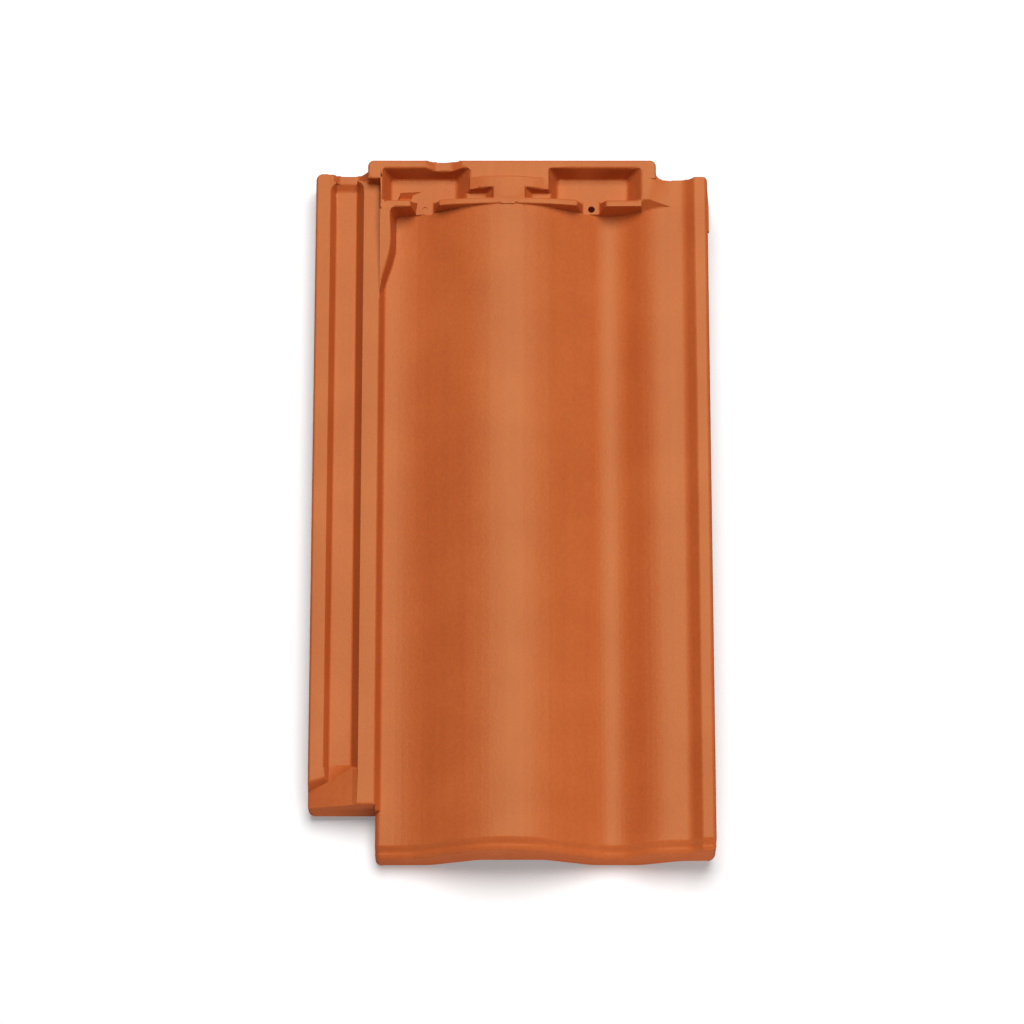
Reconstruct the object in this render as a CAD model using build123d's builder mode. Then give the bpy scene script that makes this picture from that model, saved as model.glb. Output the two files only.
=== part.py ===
"""Interlocking clay roof tile with two troughs, pressed and fired as one piece.

Frame: +X across the roof, from the side lock to the cover flap, +Y up the roof, from the foot
to the head, +Z up. The origin is the middle of the tile's footprint, on the level floor that
it lies on. Lengths are in millimetres and angles in degrees.
"""
import os
from math import hypot, radians, tan

from build123d import *

# Overall size
length = 458.4
width = 250.8  # with the lug on the flap's edge
body_thickness = 10.0
overrun = 5.0  # how far a cut runs past the clay

# Corners of the outline in plan
head_corner = 4.0
flap_corner = 3.0
foot_corner = 5.0
lock_corner = 4.5
frame_inner_corner = 4.0
lock_inner_corner = 0.7
head_edge_round = 1.2

# The side lock, from the outer edge inwards
outer_ridge_width = 8.5
outer_wall_run = 4.2
channel_width = 13.5
inner_wall_run = 4.2
inner_ridge_width = 10.6
field_wall_run = 3.3
lock_underside = 6.5
outer_ridge_height = 22.5
channel_height = 16.0
inner_ridge_height = 25.0
lock_draft = 27.0
lock_head_inset = 4.75
lock_foot_inset = 29.6
lock_foot_lean = 2.4  # the foot's face leans back up to the level of the spill
lock_head_wall = 5.7
lock_head_run = 4.0
lock_notch_height = 19.0
lock_notch_start = 2.2  # from the channel's outer side to the notch's floor
lock_notch_end = 1.2  # from the channel's inner side to the end of that floor
lock_tie = 6.0  # how far the lock's section reaches into the field
ridge_round = 1.6
channel_round = 2.2
channel_edge_round = 0.8

# The spill face where the channel runs out at the lock's foot
spill_length = 12.9
ridge_slant = 4.0
spill_slant = 11.9
spill_height = 15.0
spill_top_drop = 1.8
spill_turn = 3.0  # the last stretch of the spill face, which turns up to the inner ridge
ramp_length = 13.0

# The pad that widens the inner ridge under the lap of the next tile up the roof
pad_width = 8.8
pad_top_width = 10.9
pad_draft = 13.0
pad_bend_inset = 50.5
pad_bend_length = 44.0
pad_corner_round = 3.0

# The field, the wavy face that sheds the water, with its places and radii as shares of its width
trough_height = 18.0
crest_rise = 28.0  # to the point where the crest's two slopes would meet
trough_drop = 2.6
shoulder_rise = 11.6
shoulder_climb = 0.8
rim_rise = 18.0
rim_width = 8.5
rim_run = 6.2
rim_foot_radius = 8.0
rim_radius = 2.9
flap_thickness = 7.5
field_edge_round = 3.2
flap_edge_round = 2.6
left_trough_share = 0.085
crest_share = 0.376
right_trough_share = 0.702
shoulder_share = 0.815
left_trough_radius_share = 0.282
crest_radius_share = 0.351
right_trough_radius_share = 0.117
shoulder_radius_share = 0.166

# The rib under the cover flap, which hangs in the neighbour's channel
cover_rib_width = 6.0
cover_rib_drop = 4.5
cover_rib_run = 1.5
cover_rib_head_inset = 30.0

# The stacking lug on the flap's edge
lug_depth = 0.8
lug_length = 28.7
lug_run = 12.0
lug_inset = 7.6
lug_drop = 2.6
lug_height = 4.0

# The drip lip along the foot
lip_depth = 12.0
lip_step = 3.4  # the lip's front lies this much below the field
lip_front = 4.4  # how far the lip's front stands out from the step
lip_round = 3.6
step_round = 2.4
lip_arch = 11.7  # height of the lip's lower edge under the crest
lip_shoulder = 9.0
lip_rim = 10.0
lip_side_inset = 2.8
lip_radius_share = 0.107
lip_left_share = 0.15
lip_crest_left_share = 0.295
lip_crest_right_share = 0.49
lip_right_share = 0.63
lip_far_share = 0.776
lip_shoulder_share = 0.893

# The head frame with its two pockets
frame_width = 184.0
frame_height = 34.0
frame_depth = 33.0
frame_underside = 12.0
field_head_inset = 12.6
head_rim = 5.3
rib_depth = 4.3
rib_run = 0.7
arch_width = 104.0
arch_step = 0.8  # the rib stands this much above the field's crest
plate_run = 12.0  # over this run the plate behind the rib sinks to the level of the frame
arm_top_depth = 14.8
arm_flat = 5.0
arm_fall = 15.5
arm_lean = 42.0
pocket_height = 22.0
pocket_left_run = 5.7
pocket_right_run = 8.5
pocket_head_run = 3.2
pocket_rib_run = 3.0
pocket_corner = 1.8
left_pocket_start = -82.9
left_pocket_end = -26.8
right_pocket_start = 23.2
right_pocket_end = 82.6
rim_notch_x = -43.5
rim_notch_width = 10.4
rim_notch_run = 6.5
rim_notch_depth = 3.6
rim_notch_round = 6.0
notch_round = 3.0

# The shallow seats beside the pockets
seat_length = 14.6
seat_depth = 7.6
seat_height = 30.5
seat_rise = 6.0
seat_end_run = 4.2
seat_back_run = 1.4
seat_rib_run = 0.6

# The notches where the pockets drain to the field, and the nail holes in them
spout_width = 11.0
spout_run = 3.4
left_spout_x = -55.6
right_spout_x = 50.8
nail_inset = 29.3
nail_diameter = 4.4
dimple_diameter = 3.4
dimple_depth = 0.6

# The nick in the floor of the left pocket, behind the rib
nick_start = -72.4
nick_length = 15.0
nick_inset = 17.8
nick_slant = 0.9
nick_depth = 2.7
nick_run = 2.7
nick_front = 3.6

# The underside of the head: the hollow below the crest and the hanging nibs
hollow_width = 44.0
hollow_height = 23.0
hollow_run = 6.0
hollow_wall = 9.0
hollow_radius = 6.0
nib_width = 34.0
nib_depth = 16.0
nib_inset = 14.0
nib_spread = 106.0
nib_draft = 8.0
nib_corner = 2.5

# Places worked out from the sizes above
lock_width = (
    outer_ridge_width
    + outer_wall_run
    + channel_width
    + inner_wall_run
    + inner_ridge_width
    + field_wall_run
)
field_width = width - lock_width
x_left = -width / 2
x_right = width / 2
x_field = x_left + lock_width
x_flap = x_right - lug_depth
x_rim = x_flap - rim_width
x_field_edge = x_field - lip_side_inset
x_channel_left = x_left + outer_ridge_width + outer_wall_run
x_channel_right = x_channel_left + channel_width
x_inner_ridge = x_channel_right + inner_wall_run
x_pad = x_inner_ridge + pad_top_width
x_pad_foot = x_field - field_wall_run + (inner_ridge_height - trough_height) * tan(radians(pad_draft))
x_frame = frame_width / 2
y_foot = -length / 2
y_head = length / 2
y_step = y_foot + lip_front
y_field_head = y_head - field_head_inset
y_lock_head = y_head - lock_head_inset
y_channel_head = y_lock_head - lock_head_wall
y_lock_foot = y_foot + lock_foot_inset
y_spill = y_lock_foot + spill_length
y_spill_left = y_spill + ridge_slant
y_spill_right = y_spill_left + spill_slant
y_ramp = y_spill_left + ramp_length
y_frame = y_head - frame_depth
y_rib = y_frame + rib_run + rib_depth
y_pocket = y_head - head_rim
y_pad_bend = y_head - pad_bend_inset
y_pad_foot = y_pad_bend - pad_bend_length
y_arm = y_field_head - arm_top_depth
arm_run = (frame_height - trough_height) * tan(radians(arm_lean))
x_arm = right_pocket_end + arm_flat
spill_slope = (inner_ridge_height - spill_top_drop - spill_height) / (x_inner_ridge - spill_turn - x_left)
lock_top = inner_ridge_height + overrun
lock_lean = tan(radians(lock_draft))
shoulder_height = trough_height + shoulder_rise
rim_foot_height = shoulder_height + shoulder_climb
rim_height = trough_height + rim_rise
left_trough_radius = left_trough_radius_share * field_width
crest_radius = crest_radius_share * field_width
right_trough_radius = right_trough_radius_share * field_width
shoulder_radius = shoulder_radius_share * field_width
lip_radius = lip_radius_share * field_width


def across(y):
    """A plane that faces the foot, with the tile's X across it and Z up it."""
    return Plane(origin=(0, y, 0), x_dir=(1, 0, 0), z_dir=(0, -1, 0))


def field_x(share):
    return x_field + share * field_width


wave = [
    (field_x(left_trough_share), trough_height),
    (field_x(crest_share), trough_height + crest_rise),
    (field_x(right_trough_share), trough_height - trough_drop),
    (field_x(shoulder_share), shoulder_height),
    (x_rim - rim_run, rim_foot_height),
    (x_rim, rim_height),
]
wave_radii = [
    left_trough_radius,
    crest_radius,
    right_trough_radius,
    shoulder_radius,
    rim_foot_radius,
    rim_radius,
]
top = [(x_field_edge, trough_height), *wave, (x_flap, rim_height)]
top_radii = [field_edge_round, *wave_radii, flap_edge_round]
under_drops = [body_thickness] * 3 + [flap_thickness] * 3
under = [(x, z - drop) for (x, z), drop in zip(wave, under_drops)]
under_radii = [
    left_trough_radius + body_thickness,
    crest_radius - body_thickness,
    right_trough_radius,
    shoulder_radius - flap_thickness,
    rim_foot_radius,
    rim_foot_radius,
]
lip_edge = [
    (field_x(lip_left_share), 0),
    (field_x(lip_crest_left_share), lip_arch),
    (field_x(lip_crest_right_share), lip_arch),
    (field_x(lip_right_share), 0),
    (field_x(lip_far_share), 0),
    (field_x(lip_shoulder_share), lip_shoulder),
]
crest_x = wave[1][0]
x_cover_rib = (x_channel_left + x_channel_right) / 2 + field_width

# The cut for the spill face: it falls from the inner ridge to the outer edge, below a slanted end
with BuildPart() as spill_cut:
    with BuildSketch(across(y_spill_right + channel_width)):
        with BuildLine():
            FilletPolyline(
                (x_left - overrun, spill_height),
                (x_left, spill_height),
                (x_inner_ridge - spill_turn, inner_ridge_height - spill_top_drop),
                (x_inner_ridge, inner_ridge_height),
                (x_inner_ridge, lock_top),
                (x_left - overrun, lock_top),
                close=True,
                radius=[0, 0, channel_round, 0, 0, 0],
            )
        make_face()
    extrude(amount=y_spill_right + channel_width - y_lock_foot + overrun)
    with BuildSketch(Plane.XY.offset(spill_height)):
        Polygon(
            (x_left - overrun, y_lock_foot - overrun),
            (x_inner_ridge, y_lock_foot - overrun),
            (x_inner_ridge, y_spill_right),
            (x_channel_left, y_spill_left),
            (x_left, y_spill),
            (x_left - overrun, y_spill),
            align=None,
        )
    extrude(amount=lock_top - spill_height, taper=-lock_draft, mode=Mode.INTERSECT)

# The cut for the channel's run-out: its floor climbs to the slanted end of the spill face
with BuildPart() as runout_cut:
    with BuildSketch(across(y_ramp)):
        spread = (lock_top - channel_height) * lock_lean
        Polygon(
            (x_channel_left, channel_height),
            (x_channel_right, channel_height),
            (x_channel_right + spread, lock_top),
            (x_channel_left - spread, lock_top),
            align=None,
        )
    slant_end = Plane(
        origin=(x_channel_left, y_spill_left, 0),
        x_dir=(x_inner_ridge - x_channel_left, spill_slant, 0),
        z_dir=(spill_slant, x_channel_left - x_inner_ridge, 0),
    )
    with BuildSketch(slant_end):
        left_height = spill_height + spill_slope * (x_channel_left - x_left)
        right_height = spill_height + spill_slope * (x_channel_right - x_left)
        slant_run = hypot(channel_width, spill_slant * channel_width / (channel_width + inner_wall_run))
        Polygon(
            (0, left_height),
            (slant_run, right_height),
            (slant_run + (lock_top - right_height) * lock_lean, lock_top),
            ((left_height - lock_top) * lock_lean, lock_top),
            align=None,
        )
    loft(ruled=True)

# The bar of the head frame past the field's end, with a soft edge along the head
with BuildPart() as head_bar:
    with BuildSketch(Plane.XY.offset(frame_underside)):
        with Locations((0, y_head - field_head_inset / 2)):
            Rectangle(frame_width, field_head_inset)
    extrude(amount=frame_height - frame_underside)
    fillet(head_bar.edges().filter_by(Axis.Z).group_by(Axis.Y)[-1], radius=head_corner)
    head_edges = head_bar.edges().filter_by_position(Axis.Y, y_head, y_head)
    fillet(head_edges.filter_by_position(Axis.Z, frame_height, frame_height), radius=head_edge_round)

# The right arm of the frame, with a slanted front, which runs down into the shoulder
with BuildPart() as arm:
    with BuildSketch(across(y_field_head + frame_inner_corner)):
        Polygon(
            (right_pocket_end, frame_underside),
            (x_arm + arm_fall, shoulder_height - flap_thickness / 2),
            (x_arm + arm_fall, shoulder_height),
            (x_arm, frame_height),
            (right_pocket_end, frame_height),
            align=None,
        )
    extrude(amount=frame_inner_corner + arm_top_depth + arm_run)
    with BuildSketch(Plane.YZ.offset(right_pocket_end)):
        Polygon(
            (y_arm, frame_height),
            (y_arm, frame_height + overrun),
            (y_arm - arm_run - overrun, frame_height + overrun),
            (y_arm - arm_run - overrun, trough_height),
            (y_arm - arm_run, trough_height),
            align=None,
        )
    extrude(amount=x_right - right_pocket_end, mode=Mode.SUBTRACT)

with BuildPart() as tile:
    # The field, one wavy section drawn along the roof
    with BuildSketch(across(y_field_head)):
        with BuildLine():
            FilletPolyline(
                *top,
                (x_flap, rim_height - flap_thickness),
                *reversed(under),
                (x_field_edge, trough_height - body_thickness),
                close=True,
                radius=[*top_radii, 0, *reversed(under_radii), 0],
            )
        make_face()
    extrude(amount=y_field_head - y_step)
    crest_height = tile.part.bounding_box().max.Z

    # The drip lip: a flatter lower edge below the field, and a rounded front one step down
    for y, drop, run, edge_round in (
        (y_foot + lip_depth, 0, lip_depth - lip_front, step_round),
        (y_step, lip_step, lip_front, lip_round),
    ):
        with BuildSketch(across(y)):
            with BuildLine():
                FilletPolyline(
                    *[(x, z - drop) for x, z in top],
                    (x_flap, lip_rim),
                    *reversed(lip_edge),
                    (x_field_edge, 0),
                    close=True,
                    radius=[*top_radii, 0, *[lip_radius] * len(lip_edge), 0],
                )
            make_face()
        extrude(amount=run)
        front = tile.edges().filter_by_position(Axis.Y, y - run, y - run)
        fillet(front.filter_by_position(Axis.Z, trough_height - drop, crest_height), radius=edge_round)

    # The side lock as a solid bar, with the slope from its inner ridge to the field
    with BuildSketch(across(y_lock_head)):
        with BuildLine():
            FilletPolyline(
                (x_left, lock_underside),
                (x_left, outer_ridge_height),
                (x_left + outer_ridge_width, outer_ridge_height),
                (x_inner_ridge, inner_ridge_height),
                (x_inner_ridge + inner_ridge_width, inner_ridge_height),
                (x_field, trough_height),
                (x_field + lock_tie, trough_height),
                (x_field + lock_tie, trough_height - body_thickness),
                (x_field, lock_underside),
                close=True,
                radius=[ridge_round, ridge_round, 0, 0, ridge_round, channel_round, 0, 0, 0],
            )
        make_face()
    extrude(amount=y_lock_head - y_lock_foot)
    with BuildSketch(Plane.YZ.offset(x_left - overrun)):
        Polygon(
            (y_lock_foot, lock_underside),
            (y_lock_foot + lock_foot_lean, spill_height),
            (y_lock_foot + lock_foot_lean, lock_top),
            (y_lock_foot - overrun, lock_top),
            (y_lock_foot - overrun, lock_underside),
            align=None,
        )
    extrude(amount=overrun + lock_width - lip_side_inset, mode=Mode.SUBTRACT)

    # The water channel, which runs out over the spill face
    with BuildSketch(Plane.XY.offset(channel_height)):
        with BuildLine():
            FilletPolyline(
                (x_channel_left, y_channel_head - lock_head_run),
                (x_channel_left, y_ramp),
                (x_channel_right, y_ramp),
                (x_channel_right, y_channel_head - lock_head_run),
                close=True,
                radius=[channel_round, 0, 0, channel_round],
            )
        make_face()
    extrude(amount=lock_top - channel_height, taper=-lock_draft, mode=Mode.SUBTRACT)
    with BuildSketch(Plane.YZ.offset(x_channel_left)):
        Polygon(
            (y_channel_head - lock_head_run, channel_height),
            (y_channel_head, lock_notch_height),
            (y_channel_head, lock_top),
            (y_channel_head - lock_head_run - overrun, lock_top),
            (y_channel_head - lock_head_run - overrun, channel_height),
            align=None,
        )
    extrude(amount=channel_width, mode=Mode.SUBTRACT)

    add(runout_cut.part, mode=Mode.SUBTRACT)
    add(spill_cut.part, mode=Mode.SUBTRACT)

    # The notch in the wall at the channel's head, which runs up to the frame
    with BuildSketch(across(y_lock_head + overrun)):
        notch_rise = lock_top - lock_notch_height
        with BuildLine():
            FilletPolyline(
                (x_channel_left + lock_notch_start - notch_rise, lock_notch_height + notch_rise),
                (x_channel_left + lock_notch_start, lock_notch_height),
                (x_channel_right + lock_notch_end, lock_notch_height),
                (x_channel_right + lock_notch_end + notch_rise, lock_notch_height + notch_rise),
                close=True,
                radius=[0, notch_round, notch_round, 0],
            )
        make_face()
    extrude(amount=overrun + lock_head_wall, mode=Mode.SUBTRACT)

    # The head frame past the field's end
    add(head_bar.part)

    # The body of the pockets, with a leaning front wall above the field
    with BuildSketch(Plane.YZ.offset(x_pad)):
        Polygon(
            (y_pocket, frame_underside),
            (y_pocket, frame_height),
            (y_frame + rib_run, frame_height),
            (y_frame, trough_height - body_thickness / 2),
            (y_frame, frame_underside),
            align=None,
        )
    extrude(amount=right_pocket_end - x_pad)
    add(arm.part)

    # The pad on the inner ridge, bent in plan and falling to the ridge's own height
    with BuildSketch(Plane.XY.offset(trough_height)):
        with BuildLine():
            Line((x_inner_ridge, y_rib), (x_inner_ridge, y_pad_foot))
            Line((x_inner_ridge, y_pad_foot), (x_pad_foot, y_pad_foot))
            Spline(
                (x_pad_foot, y_pad_foot),
                (x_pad_foot + pad_width, y_pad_bend),
                tangents=[(0, 1), (0, 1)],
            )
            Line((x_pad_foot + pad_width, y_pad_bend), (x_pad_foot + pad_width, y_rib))
            Line((x_pad_foot + pad_width, y_rib), (x_inner_ridge, y_rib))
        make_face()
    extrude(amount=frame_height - trough_height, taper=pad_draft)
    with BuildSketch(Plane.YZ.offset(x_inner_ridge)):
        Polygon(
            (y_frame, frame_height),
            (y_frame, frame_height + overrun),
            (y_pad_foot - overrun, frame_height + overrun),
            (y_pad_foot - overrun, inner_ridge_height),
            (y_pad_foot, inner_ridge_height),
            align=None,
        )
    extrude(amount=lock_width, mode=Mode.SUBTRACT)
    with BuildSketch(Plane.XY.offset(inner_ridge_height)):
        with Locations((x_pad, y_field_head)):
            Rectangle(pad_top_width, y_field_head - y_lock_foot, align=(Align.MAX, Align.MAX))
    extrude(amount=frame_height - inner_ridge_height + overrun, mode=Mode.SUBTRACT)

    # A soft corner where the pad's wall meets the front of the pockets
    pad_edges = tile.edges().filter_by_position(Axis.X, x_field, x_pad_foot + pad_width)
    pad_edges = pad_edges.filter_by_position(Axis.Y, y_frame, y_frame + rib_run)
    pad_edges = pad_edges.filter_by_position(Axis.Z, trough_height, frame_height, inclusive=(True, False))
    fillet(pad_edges, radius=pad_corner_round)

    # The rib arches over the crest, and the plate behind it sinks to the level of the frame
    with BuildSketch(across(y_frame + rib_run)) as arch:
        with BuildLine():
            ThreePointArc(
                (crest_x - arch_width / 2, frame_height),
                (crest_x, crest_height + arch_step),
                (crest_x + arch_width / 2, frame_height),
            )
            Polyline(
                (crest_x - arch_width / 2, frame_height),
                (crest_x - arch_width / 2, pocket_height),
                (crest_x + arch_width / 2, pocket_height),
                (crest_x + arch_width / 2, frame_height),
            )
        make_face()
    extrude(amount=-rib_depth)
    sink = (0, plate_run, frame_height - crest_height - arch_step)
    extrude(arch.sketch.moved(Location((0, rib_depth, 0))), amount=hypot(sink[1], sink[2]), dir=sink)

    # The two pockets and the shallow seats beside them, with leaning walls and straight mouths
    for start, end in ((left_pocket_start, left_pocket_end), (right_pocket_start, right_pocket_end)):
        with BuildSketch(Plane.XY.offset(pocket_height)):
            with Locations((start + pocket_left_run, y_rib + pocket_rib_run)):
                RectangleRounded(
                    end - start - pocket_left_run - pocket_right_run,
                    y_pocket - y_rib - pocket_rib_run - pocket_head_run,
                    pocket_corner,
                    align=(Align.MIN, Align.MIN),
                )
        with BuildSketch(Plane.XY.offset(frame_height)) as mouth:
            with Locations((start, y_rib)):
                RectangleRounded(
                    end - start,
                    y_pocket - y_rib,
                    pocket_corner,
                    align=(Align.MIN, Align.MIN),
                )
        loft(ruled=True, mode=Mode.SUBTRACT)
        extrude(mouth.sketch, amount=crest_height + overrun - frame_height, mode=Mode.SUBTRACT)
    for x, way in ((left_pocket_end, 1), (right_pocket_start, -1)):
        with BuildSketch(Plane.XY.offset(seat_height)):
            with Locations((x - way * overrun, y_rib + seat_rib_run)):
                Rectangle(
                    overrun + seat_length - seat_end_run,
                    seat_depth - seat_rib_run - seat_back_run,
                    align=(Align.MIN if way > 0 else Align.MAX, Align.MIN),
                )
        with BuildSketch(Plane.XY.offset(seat_height + seat_rise)) as mouth:
            with Locations((x - way * overrun, y_rib)):
                Rectangle(
                    overrun + seat_length,
                    seat_depth,
                    align=(Align.MIN if way > 0 else Align.MAX, Align.MIN),
                )
        loft(ruled=True, mode=Mode.SUBTRACT)
        extrude(mouth.sketch, amount=crest_height + overrun - seat_height - seat_rise, mode=Mode.SUBTRACT)

    # The nick in the left pocket's floor, which fades out to the right
    y_nick = y_head - nick_inset
    with BuildSketch(Plane.YZ.offset(nick_start)) as nick:
        Polygon(
            (y_nick, pocket_height),
            (y_nick - nick_run - nick_front, pocket_height),
            (y_nick - nick_run, pocket_height - nick_depth),
            align=None,
        )
    tip = Vertex(nick_start + nick_length, y_nick + nick_slant, pocket_height)
    loft(sections=[nick.sketch.faces()[0], tip], mode=Mode.SUBTRACT)

    # The drain notches through the rib
    for x in (left_spout_x, right_spout_x):
        with BuildSketch(across(y_rib + pocket_rib_run)):
            Polygon(
                (x - spout_width / 2, pocket_height),
                (x + spout_width / 2, pocket_height),
                (x + spout_width / 2 + spout_run, frame_height),
                (x + spout_width / 2 + spout_run, frame_height + overrun),
                (x - spout_width / 2 - spout_run, frame_height + overrun),
                (x - spout_width / 2 - spout_run, frame_height),
                align=None,
            )
        extrude(amount=y_rib + pocket_rib_run - y_frame, mode=Mode.SUBTRACT)

    # The nail holes, one open and one left as a dimple to be punched through
    with Locations((right_spout_x, y_head - nail_inset, pocket_height)):
        Hole(nail_diameter / 2)
    with Locations((left_spout_x, y_head - nail_inset, pocket_height)):
        Hole(dimple_diameter / 2, depth=dimple_depth)

    # The notch in the head rim above the left pocket
    with BuildSketch(across(y_head + overrun)):
        notch_run = rim_notch_run * (rim_notch_depth + overrun) / rim_notch_depth
        with BuildLine():
            FilletPolyline(
                (rim_notch_x - rim_notch_width / 2 - notch_run, frame_height + overrun),
                (rim_notch_x - rim_notch_width / 2, frame_height - rim_notch_depth),
                (rim_notch_x + rim_notch_width / 2, frame_height - rim_notch_depth),
                (rim_notch_x + rim_notch_width / 2 + notch_run, frame_height + overrun),
                close=True,
                radius=[0, rim_notch_round, rim_notch_round, 0],
            )
        make_face()
    extrude(amount=overrun + head_rim + pocket_head_run, mode=Mode.SUBTRACT)

    # The hollow under the head, which carries on the arch below the crest
    with BuildSketch(across(y_head - hollow_wall)):
        with BuildLine():
            FilletPolyline(
                (crest_x - hollow_width / 2 - hollow_run, 0),
                (crest_x - hollow_width / 2, hollow_height),
                (crest_x + hollow_width / 2, hollow_height),
                (crest_x + hollow_width / 2 + hollow_run, 0),
                close=True,
                radius=[0, hollow_radius, hollow_radius, 0],
            )
        make_face()
    extrude(amount=frame_depth - hollow_wall + overrun, mode=Mode.SUBTRACT)

    # The hanging nibs
    for x in (-nib_spread / 2, nib_spread / 2):
        with BuildSketch(Plane.XY.offset(frame_underside)):
            with Locations((x, y_head - nib_inset)):
                RectangleRounded(nib_width, nib_depth, nib_corner)
        extrude(amount=-frame_underside, taper=nib_draft)

    # The rib under the cover flap
    with BuildSketch(across(y_field_head - cover_rib_head_inset)):
        rib_top = shoulder_height - flap_thickness / 2
        rib_low = shoulder_height - flap_thickness - cover_rib_drop
        Polygon(
            (x_cover_rib - cover_rib_width / 2 - cover_rib_run, rib_top),
            (x_cover_rib - cover_rib_width / 2, rib_low),
            (x_cover_rib + cover_rib_width / 2, rib_low),
            (x_cover_rib + cover_rib_width / 2 + cover_rib_run, rib_top),
            align=None,
        )
    extrude(amount=y_field_head - cover_rib_head_inset - y_lock_foot)

    # The outline in plan, with its rounded corners
    with BuildSketch():
        with BuildLine():
            FilletPolyline(
                (x_field_edge, y_foot),
                (x_flap, y_foot),
                (x_flap, y_field_head),
                (x_frame, y_field_head),
                (x_frame, y_head),
                (-x_frame, y_head),
                (-x_frame, y_lock_head),
                (x_left, y_lock_head),
                (x_left, y_lock_foot),
                (x_field_edge, y_lock_foot),
                close=True,
                radius=[
                    head_corner,
                    foot_corner,
                    flap_corner,
                    frame_inner_corner,
                    head_corner,
                    head_corner,
                    lock_inner_corner,
                    lock_corner,
                    lock_corner,
                    lock_inner_corner,
                ],
            )
        make_face()
    extrude(amount=crest_height + overrun, mode=Mode.INTERSECT)

    # Soft edges along the channel
    channel_edges = tile.edges().filter_by_position(
        Axis.X, x_left + outer_ridge_width, x_inner_ridge + ridge_round, inclusive=(False, False)
    )
    channel_edges = channel_edges.filter_by_position(Axis.Z, outer_ridge_height, inner_ridge_height)
    fillet(channel_edges.sort_by(SortBy.LENGTH)[-2:], radius=channel_edge_round)

    # The stacking lug on the flap's edge
    y_lug = y_field_head - lug_inset
    with BuildSketch(Plane.XY.offset(rim_height - lug_drop - lug_height)):
        Polygon(
            (x_flap - lug_depth, y_lug - lug_length),
            (x_right, y_lug - lug_length),
            (x_right, y_lug - lug_run),
            (x_flap, y_lug),
            (x_flap - lug_depth, y_lug),
            align=None,
        )
    extrude(amount=lug_height)

tile.part.label = "roof_tile"
os.makedirs("parts", exist_ok=True)
export_step(tile.part, "parts/roof_tile.step")
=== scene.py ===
from math import radians, sin, cos

import bmesh
import bpy
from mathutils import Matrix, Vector


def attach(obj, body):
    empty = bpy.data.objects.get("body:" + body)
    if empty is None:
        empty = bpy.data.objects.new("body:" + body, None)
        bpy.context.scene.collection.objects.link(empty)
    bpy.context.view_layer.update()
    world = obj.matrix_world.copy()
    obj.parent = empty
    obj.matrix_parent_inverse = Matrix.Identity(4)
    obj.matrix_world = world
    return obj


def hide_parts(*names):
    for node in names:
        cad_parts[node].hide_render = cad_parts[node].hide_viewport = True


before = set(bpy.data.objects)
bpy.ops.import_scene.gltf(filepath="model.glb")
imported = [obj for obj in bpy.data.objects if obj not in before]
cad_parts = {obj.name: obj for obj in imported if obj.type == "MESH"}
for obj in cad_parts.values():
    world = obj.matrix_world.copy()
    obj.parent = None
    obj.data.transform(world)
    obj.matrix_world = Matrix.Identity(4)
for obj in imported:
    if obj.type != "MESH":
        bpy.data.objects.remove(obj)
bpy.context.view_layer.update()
bpy.ops.object.select_all(action="DESELECT")


# A socket with Python's own arithmetic
class Sock:
    def __init__(self, tree, link):
        self.tree = tree
        self.link = link

    def math(self, operation, first, second):
        return self.tree.add("ShaderNodeMath", {"operation": operation}, {0: first, 1: second})

    def __add__(self, other):
        return self.math("ADD", self, other)

    def __radd__(self, other):
        return self.math("ADD", other, self)

    def __sub__(self, other):
        return self.math("SUBTRACT", self, other)

    def __rsub__(self, other):
        return self.math("SUBTRACT", other, self)

    def __mul__(self, other):
        return self.math("MULTIPLY", self, other)

    def __rmul__(self, other):
        return self.math("MULTIPLY", other, self)


class Tree:
    def __init__(self, owner):
        owner.use_nodes = True
        self.nodes = owner.node_tree.nodes
        self.links = owner.node_tree.links
        self.nodes.clear()

    # Settings go on the node before its sockets, because some settings change the sockets
    def add(self, kind, settings=None, sockets=None, out=0):
        node = self.nodes.new(kind)
        for name, value in (settings or {}).items():
            if name == "stops":
                self.setStops(node.color_ramp, value)
            else:
                setattr(node, name, value)
        for name, value in (sockets or {}).items():
            if isinstance(value, Sock):
                self.links.new(value.link, node.inputs[name])
            else:
                node.inputs[name].default_value = value
        return Sock(self, node.outputs[out]) if len(node.outputs) else None

    def setStops(self, ramp, stops):
        while len(ramp.elements) < len(stops):
            ramp.elements.new(1.0)
        for element, (place, colour) in zip(ramp.elements, stops):
            element.position = place
            element.color = (*colour, 1.0)


# Fired clay with a thin matt slip: fine grain, faint streaks from pressing, soft satin gloss
clay = {
    "colour": (0.488, 0.1025, 0.0243),
    "paleColour": (0.528, 0.118, 0.0292),
    "deepColour": (0.448, 0.088, 0.0203),
    "tintStops": (0.34, 0.5, 0.66),  # where the mottling is deep, plain and pale
    "cloudScale": 22.0,
    "cloudDetail": 3.0,
    "streakScale": (160.0, 3.0, 60.0),
    "streakDetail": 2.0,
    "grainScale": 1400.0,
    "grainDetail": 2.0,
    "speckScale": 420.0,
    "speckDetail": 1.0,
    "mottleShares": {"clouds": 0.5, "streaks": 0.2, "specks": 0.2, "grain": 0.1},
    "skinShares": {"grain": 0.5, "specks": 0.5},
    "grainDepth": 0.0004,
    "grainStrength": 0.6,
    "undulation": 0.00025,
    "undulationStrength": 0.5,
    "roughness": 0.46,
    "roughSpread": 0.08,
    "speckMiddle": 0.5,
    "specular": 0.31,
    "sheen": (0.88, 0.95, 0.5, 1.0),
}


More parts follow.
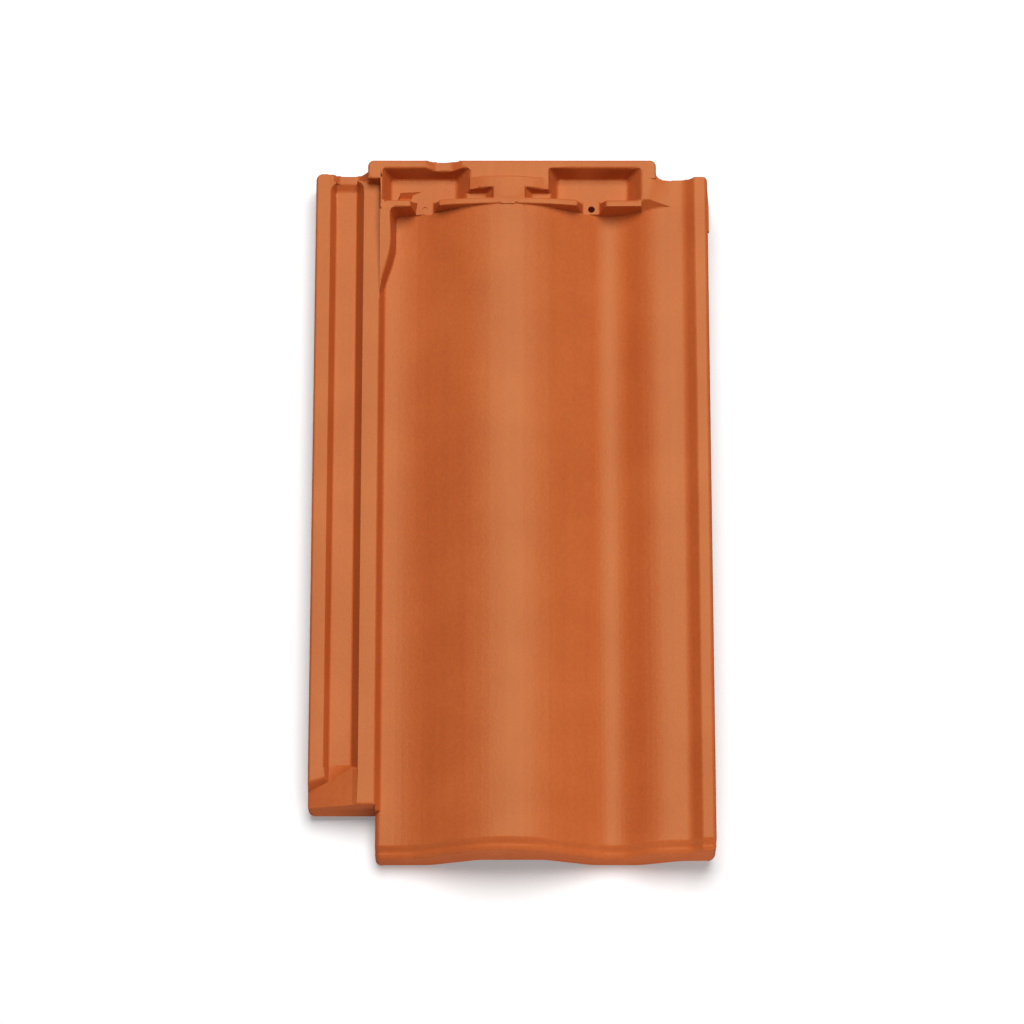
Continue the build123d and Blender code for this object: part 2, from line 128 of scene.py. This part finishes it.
def makeClay():
    material = bpy.data.materials.new("satin_clay")
    tree = Tree(material)
    place = tree.add("ShaderNodeTexCoord", out=3)  # Object coordinates
    clouds = tree.add(
        "ShaderNodeTexNoise",
        {},
        {"Vector": place, "Scale": clay["cloudScale"], "Detail": clay["cloudDetail"]},
    )
    stretched = tree.add("ShaderNodeMapping", {}, {"Vector": place, "Scale": clay["streakScale"]})
    streaks = tree.add(
        "ShaderNodeTexNoise", {}, {"Vector": stretched, "Scale": 1.0, "Detail": clay["streakDetail"]}
    )
    grain = tree.add(
        "ShaderNodeTexNoise",
        {},
        {"Vector": place, "Scale": clay["grainScale"], "Detail": clay["grainDetail"]},
    )
    specks = tree.add(
        "ShaderNodeTexNoise",
        {},
        {"Vector": place, "Scale": clay["speckScale"], "Detail": clay["speckDetail"]},
    )
    shares = clay["mottleShares"]
    mottle = (
        clouds * shares["clouds"]
        + streaks * shares["streaks"]
        + specks * shares["specks"]
        + grain * shares["grain"]
    )
    colours = (clay["deepColour"], clay["colour"], clay["paleColour"])
    stops = list(zip(clay["tintStops"], colours))
    tint = tree.add("ShaderNodeValToRGB", {"stops": stops}, {"Fac": mottle})
    waviness = tree.add(
        "ShaderNodeBump",
        {},
        {"Height": clouds, "Distance": clay["undulation"], "Strength": clay["undulationStrength"]},
    )
    skin = grain * clay["skinShares"]["grain"] + specks * clay["skinShares"]["specks"]
    relief = tree.add(
        "ShaderNodeBump",
        {},
        {
            "Height": skin,
            "Distance": clay["grainDepth"],
            "Strength": clay["grainStrength"],
            "Normal": waviness,
        },
    )
    shader = tree.add(
        "ShaderNodeBsdfPrincipled",
        {},
        {
            "Base Color": tint,
            "Roughness": clay["roughness"] + (specks - clay["speckMiddle"]) * clay["roughSpread"],
            "Specular IOR Level": clay["specular"],
            "Specular Tint": clay["sheen"],
            "Normal": relief,
        },
    )
    tree.add("ShaderNodeOutputMaterial", {}, {"Surface": shader})
    return material


# The step of the drip lip is drawn out to a soft S, as pressed clay has it
lip = {
    "cuts": (-0.2213, -0.2219),
    "probe": -0.219,  # behind the step, where the field's own height is read
    "probeHeight": 1.0,
    "start": 0.2213,
    "end": 0.22901,
    "run": 0.0043,
    "drop": 0.0034,
    "slack": 0.0001,
}


# How far the S has dropped at a share of its run, level at both ends
def lipFall(share):
    return lip["drop"] * (3 * share**2 - 2 * share**3)


def softenLip(piece):
    bpy.ops.object.mode_set(mode="EDIT")
    for place in lip["cuts"]:
        bpy.ops.mesh.select_all(action="SELECT")
        bpy.ops.mesh.bisect(plane_co=(0, place, 0), plane_no=(0, 1, 0))
    bpy.ops.object.mode_set(mode="OBJECT")
    bpy.context.view_layer.update()
    moves = []
    for point in piece.data.vertices:
        x, y, z = point.co
        if y > -lip["start"]:
            continue
        above = (x, lip["probe"], lip["probeHeight"])
        hit, top = piece.ray_cast(above, (0, 0, -1))[:2]
        sunk = top.z - z
        path = sunk - y
        onStep = -lip["slack"] < sunk < lip["drop"] + lip["slack"]
        if hit and onStep and lip["start"] < path < lip["end"]:
            share = (path - lip["start"]) / (lip["end"] - lip["start"])
            moves.append((point, (x, -lip["start"] - lip["run"] * share, top.z - lipFall(share))))
    for point, place in moves:
        point.co = place
    print("lip softened,", len(moves), "points")


# The notch that the solid's step leaves at each end of the lip is made up flush with the side
lipEnds = {
    "rows": 9,
    "arcSteps": 6,
    "from": 0.2216,
    "to": 0.2256,
    "sink": 0.00003,
    "lean": 0.0002,
    "footRound": 0.0011,
    "footCorner": 0.3,
    "depth": 0.0045,
    "mostAdded": 0.0000002,
    "left": {"side": -0.0839, "inward": 1, "foot": 0.0, "edge": 0.0148, "round": 0.0032},
    "right": {"side": 0.1246, "inward": -1, "foot": 0.01, "edge": 0.0334, "round": 0.0026},
}


# One section across the made-up end, from its foot up the side and over the rounded edge
def lipEndOutline(end, share):
    inset = lipEnds["sink"] + lipEnds["lean"] * share
    along = lipEnds["from"] + (lipEnds["to"] - lipEnds["from"]) * share
    stepShare = min((along - lip["start"]) / lip["run"], 1.0)
    edge = end["edge"] - lipFall(stepShare) - lipEnds["sink"]
    foot = end["foot"] + 2 * lipEnds["sink"]
    soft = lipEnds["footRound"]
    corner = lipEnds["footCorner"] * soft
    outline = [
        (lipEnds["depth"], foot),
        (inset + soft, foot),
        (inset + corner, foot + corner),
        (inset, foot + soft),
    ]
    for step in range(lipEnds["arcSteps"] + 1):
        turn = radians(90) * step / lipEnds["arcSteps"]
        outline.append((inset + end["round"] * (1 - cos(turn)), edge + end["round"] * sin(turn)))
    outline.append((lipEnds["depth"], edge + end["round"]))
    return [(end["side"] + end["inward"] * depth, -along, height) for depth, height in outline]


def makeLipEnd(name):
    last = lipEnds["rows"] - 1
    rows = [lipEndOutline(lipEnds[name], row / last) for row in range(lipEnds["rows"])]
    count = len(rows[0])
    points = [point for row in rows for point in row]
    faces = [list(range(count)), list(range(len(points) - count, len(points)))]
    for row in range(last):
        for place in range(count):
            first = row * count + place
            second = row * count + (place + 1) % count
            faces.append([first, second, second + count, first + count])
    data = bpy.data.meshes.new("lip_end_" + name)
    data.from_pydata(points, [], faces)
    filler = bpy.data.objects.new("lip_end_" + name, data)
    bpy.context.scene.collection.objects.link(filler)
    bpy.ops.object.select_all(action="DESELECT")
    bpy.context.view_layer.objects.active = filler
    filler.select_set(True)
    bpy.ops.object.mode_set(mode="EDIT")
    bpy.ops.mesh.select_all(action="SELECT")
    bpy.ops.mesh.normals_make_consistent(inside=False)
    bpy.ops.object.mode_set(mode="OBJECT")
    filler.select_set(False)
    return filler


def clayVolume(data):
    mesh = bmesh.new()
    mesh.from_mesh(data)
    volume = mesh.calc_volume()
    mesh.free()
    return volume


def fillLipEnds(piece):
    for name in ("left", "right"):
        bare = piece.data.copy()
        filler = makeLipEnd(name)
        bpy.context.view_layer.objects.active = piece
        piece.select_set(True)
        joined = piece.modifiers.new("lip_end", "BOOLEAN")
        joined.operation = "UNION"
        joined.solver = "EXACT"
        joined.object = filler
        bpy.ops.object.modifier_apply(modifier=joined.name)
        bpy.data.objects.remove(filler)
        if abs(clayVolume(piece.data) - clayVolume(bare)) > lipEnds["mostAdded"]:
            piece.data = bare  # a join that went wrong leaves the lip as it was
        print("lip end made up,", name, len(piece.data.polygons), "faces")


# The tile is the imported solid's own surface, joined up and shaded smooth over its curves
tile = {
    "mergeGap": 0.00001,
    "smoothAngle": radians(28),
    "edgeSize": 0.0011,
    "edgeRoom": 0.00115,
    "edgeAngle": radians(30),
    "cornerAngle": radians(30),
    "edgeSteps": 3,
}


# Only an edge with room beside it and no narrow corner at its ends is softened
def markEdges(data):
    mesh = bmesh.new()
    mesh.from_mesh(data)
    weight = mesh.edges.layers.float.new("bevel_weight_edge")
    bent = [edge for edge in mesh.edges if len(edge.link_faces) == 2]
    bent = {edge for edge in bent if edge.calc_face_angle() > tile["edgeAngle"]}
    for edge in bent:
        length = edge.calc_length()
        room = tile["edgeRoom"]
        roomy = length > room and all(2 * face.calc_area() > room * length for face in edge.link_faces)
        wide = True
        for corner in edge.verts:
            along = edge.other_vert(corner).co - corner.co
            for other in corner.link_edges:
                if other is not edge and other in bent and other.calc_length() > 0:
                    turn = along.angle(other.other_vert(corner).co - corner.co)
                    wide = wide and turn > tile["cornerAngle"]
        edge[weight] = 1.0 if roomy and wide else 0.0
    print("edges", len(bent), "softened", sum(edge[weight] > 0 for edge in bent))
    mesh.to_mesh(data)
    mesh.free()


def makeTile(material):
    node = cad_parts["roof_tile"]
    piece = node.copy()
    piece.data = node.data.copy()
    piece.name = "tile_clay"
    piece.parent = None
    for key in list(piece.keys()):
        del piece[key]
    bpy.context.scene.collection.objects.link(piece)
    bpy.context.view_layer.objects.active = piece
    piece.select_set(True)
    bpy.ops.mesh.customdata_custom_splitnormals_clear()
    bpy.ops.object.mode_set(mode="EDIT")
    bpy.ops.mesh.select_all(action="SELECT")
    bpy.ops.mesh.remove_doubles(threshold=tile["mergeGap"])
    bpy.ops.object.mode_set(mode="OBJECT")
    softenLip(piece)
    markEdges(piece.data)
    soft = piece.modifiers.new("soft_edges", "BEVEL")
    soft.width = tile["edgeSize"]
    soft.segments = tile["edgeSteps"]
    soft.limit_method = "WEIGHT"
    soft.use_clamp_overlap = False
    bpy.ops.object.modifier_apply(modifier=soft.name)
    fillLipEnds(piece)
    bpy.ops.object.shade_smooth_by_angle(angle=tile["smoothAngle"])
    weighted = piece.modifiers.new("even_shading", "WEIGHTED_NORMAL")
    weighted.keep_sharp = True
    bpy.ops.object.modifier_apply(modifier=weighted.name)
    piece.data.materials.clear()
    piece.data.materials.append(material)
    piece.select_set(False)
    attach(piece, "root")
    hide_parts("roof_tile")
    return piece


tilePiece = makeTile(makeClay())
print("tile made,", len(tilePiece.data.polygons), "faces")

# A pale studio floor that looks white to the camera and still takes the tile's shadow
studio = {
    "floorSize": 12.0,
    "floorColour": (0.82, 0.82, 0.82, 1.0),
    "floorGlow": 0.18,
    "glowColour": (1.0, 1.0, 1.0, 1.0),
    "skyColour": (1.0, 1.0, 1.0, 1.0),
    "skyStrength": 0.1,
    "lamps": {
        "key_softbox": {
            "place": (0.2, 0.9, 2.6),
            "aim": (0.0, 0.0, 0.02),
            "size": (2.0, 2.0),
            "power": 90.0,
            "gloss": True,
        },
        "foot_strip": {
            "place": (0.12, -0.6, 0.1),
            "aim": (0.0, -0.23, 0.01),
            "size": (0.6, 0.12),
            "power": 1.15,
            "gloss": False,
        },
    },
}


def makeFloor():
    bpy.ops.mesh.primitive_plane_add(size=studio["floorSize"], location=(0, 0, 0))
    floor = bpy.context.object
    floor.name = "studio_floor"
    material = bpy.data.materials.new("studio_paper")
    tree = Tree(material)
    paper = tree.add("ShaderNodeBsdfDiffuse", {}, {"Color": studio["floorColour"]})
    seen = tree.add("ShaderNodeLightPath", out=0)  # Is Camera Ray
    glow = tree.add(
        "ShaderNodeEmission",
        {},
        {"Color": studio["glowColour"], "Strength": seen * studio["floorGlow"]},
    )
    both = tree.add("ShaderNodeAddShader", {}, {0: paper, 1: glow})
    tree.add("ShaderNodeOutputMaterial", {}, {"Surface": both})
    floor.data.materials.append(material)
    floor.visible_glossy = False
    floor.select_set(False)


def makeLight():
    world = bpy.data.worlds.new("studio_air")
    bpy.context.scene.world = world
    tree = Tree(world)
    air = {"Color": studio["skyColour"], "Strength": studio["skyStrength"]}
    sky = tree.add("ShaderNodeBackground", {}, air)
    tree.add("ShaderNodeOutputWorld", {}, {"Surface": sky})
    for name, lamp in studio["lamps"].items():
        bpy.ops.object.light_add(type="AREA", location=lamp["place"])
        light = bpy.context.object
        light.name = name
        light.data.shape = "RECTANGLE"
        light.data.size, light.data.size_y = lamp["size"]
        light.data.energy = lamp["power"]
        aim = light.location - Vector(lamp["aim"])
        light.rotation_euler = aim.to_track_quat("Z", "Y").to_euler()
        light.visible_glossy = lamp["gloss"]
        light.select_set(False)


makeFloor()
makeLight()
print("floor and light made")

# The camera looks down on the tile from its foot
view = {
    "tilt": radians(20),
    "distance": 3.125,
    "target": (0.0, -0.00705, 0.025),
    "lens": 175.78,
    "sensor": 36.0,
    "nearest": 0.05,
    "farthest": 50.0,
}


def makeCamera():
    x, y, z = view["target"]
    back = view["distance"] * sin(view["tilt"])
    up = view["distance"] * cos(view["tilt"])
    bpy.ops.object.camera_add(location=(x, y - back, z + up), rotation=(view["tilt"], 0, 0))
    camera = bpy.context.object
    camera.name = "photo_camera"
    camera.data.lens = view["lens"]
    camera.data.sensor_width = view["sensor"]
    camera.data.clip_start = view["nearest"]
    camera.data.clip_end = view["farthest"]
    bpy.context.scene.camera = camera


makeCamera()
bpy.context.scene.view_settings.view_transform = "Standard"
print("camera set")
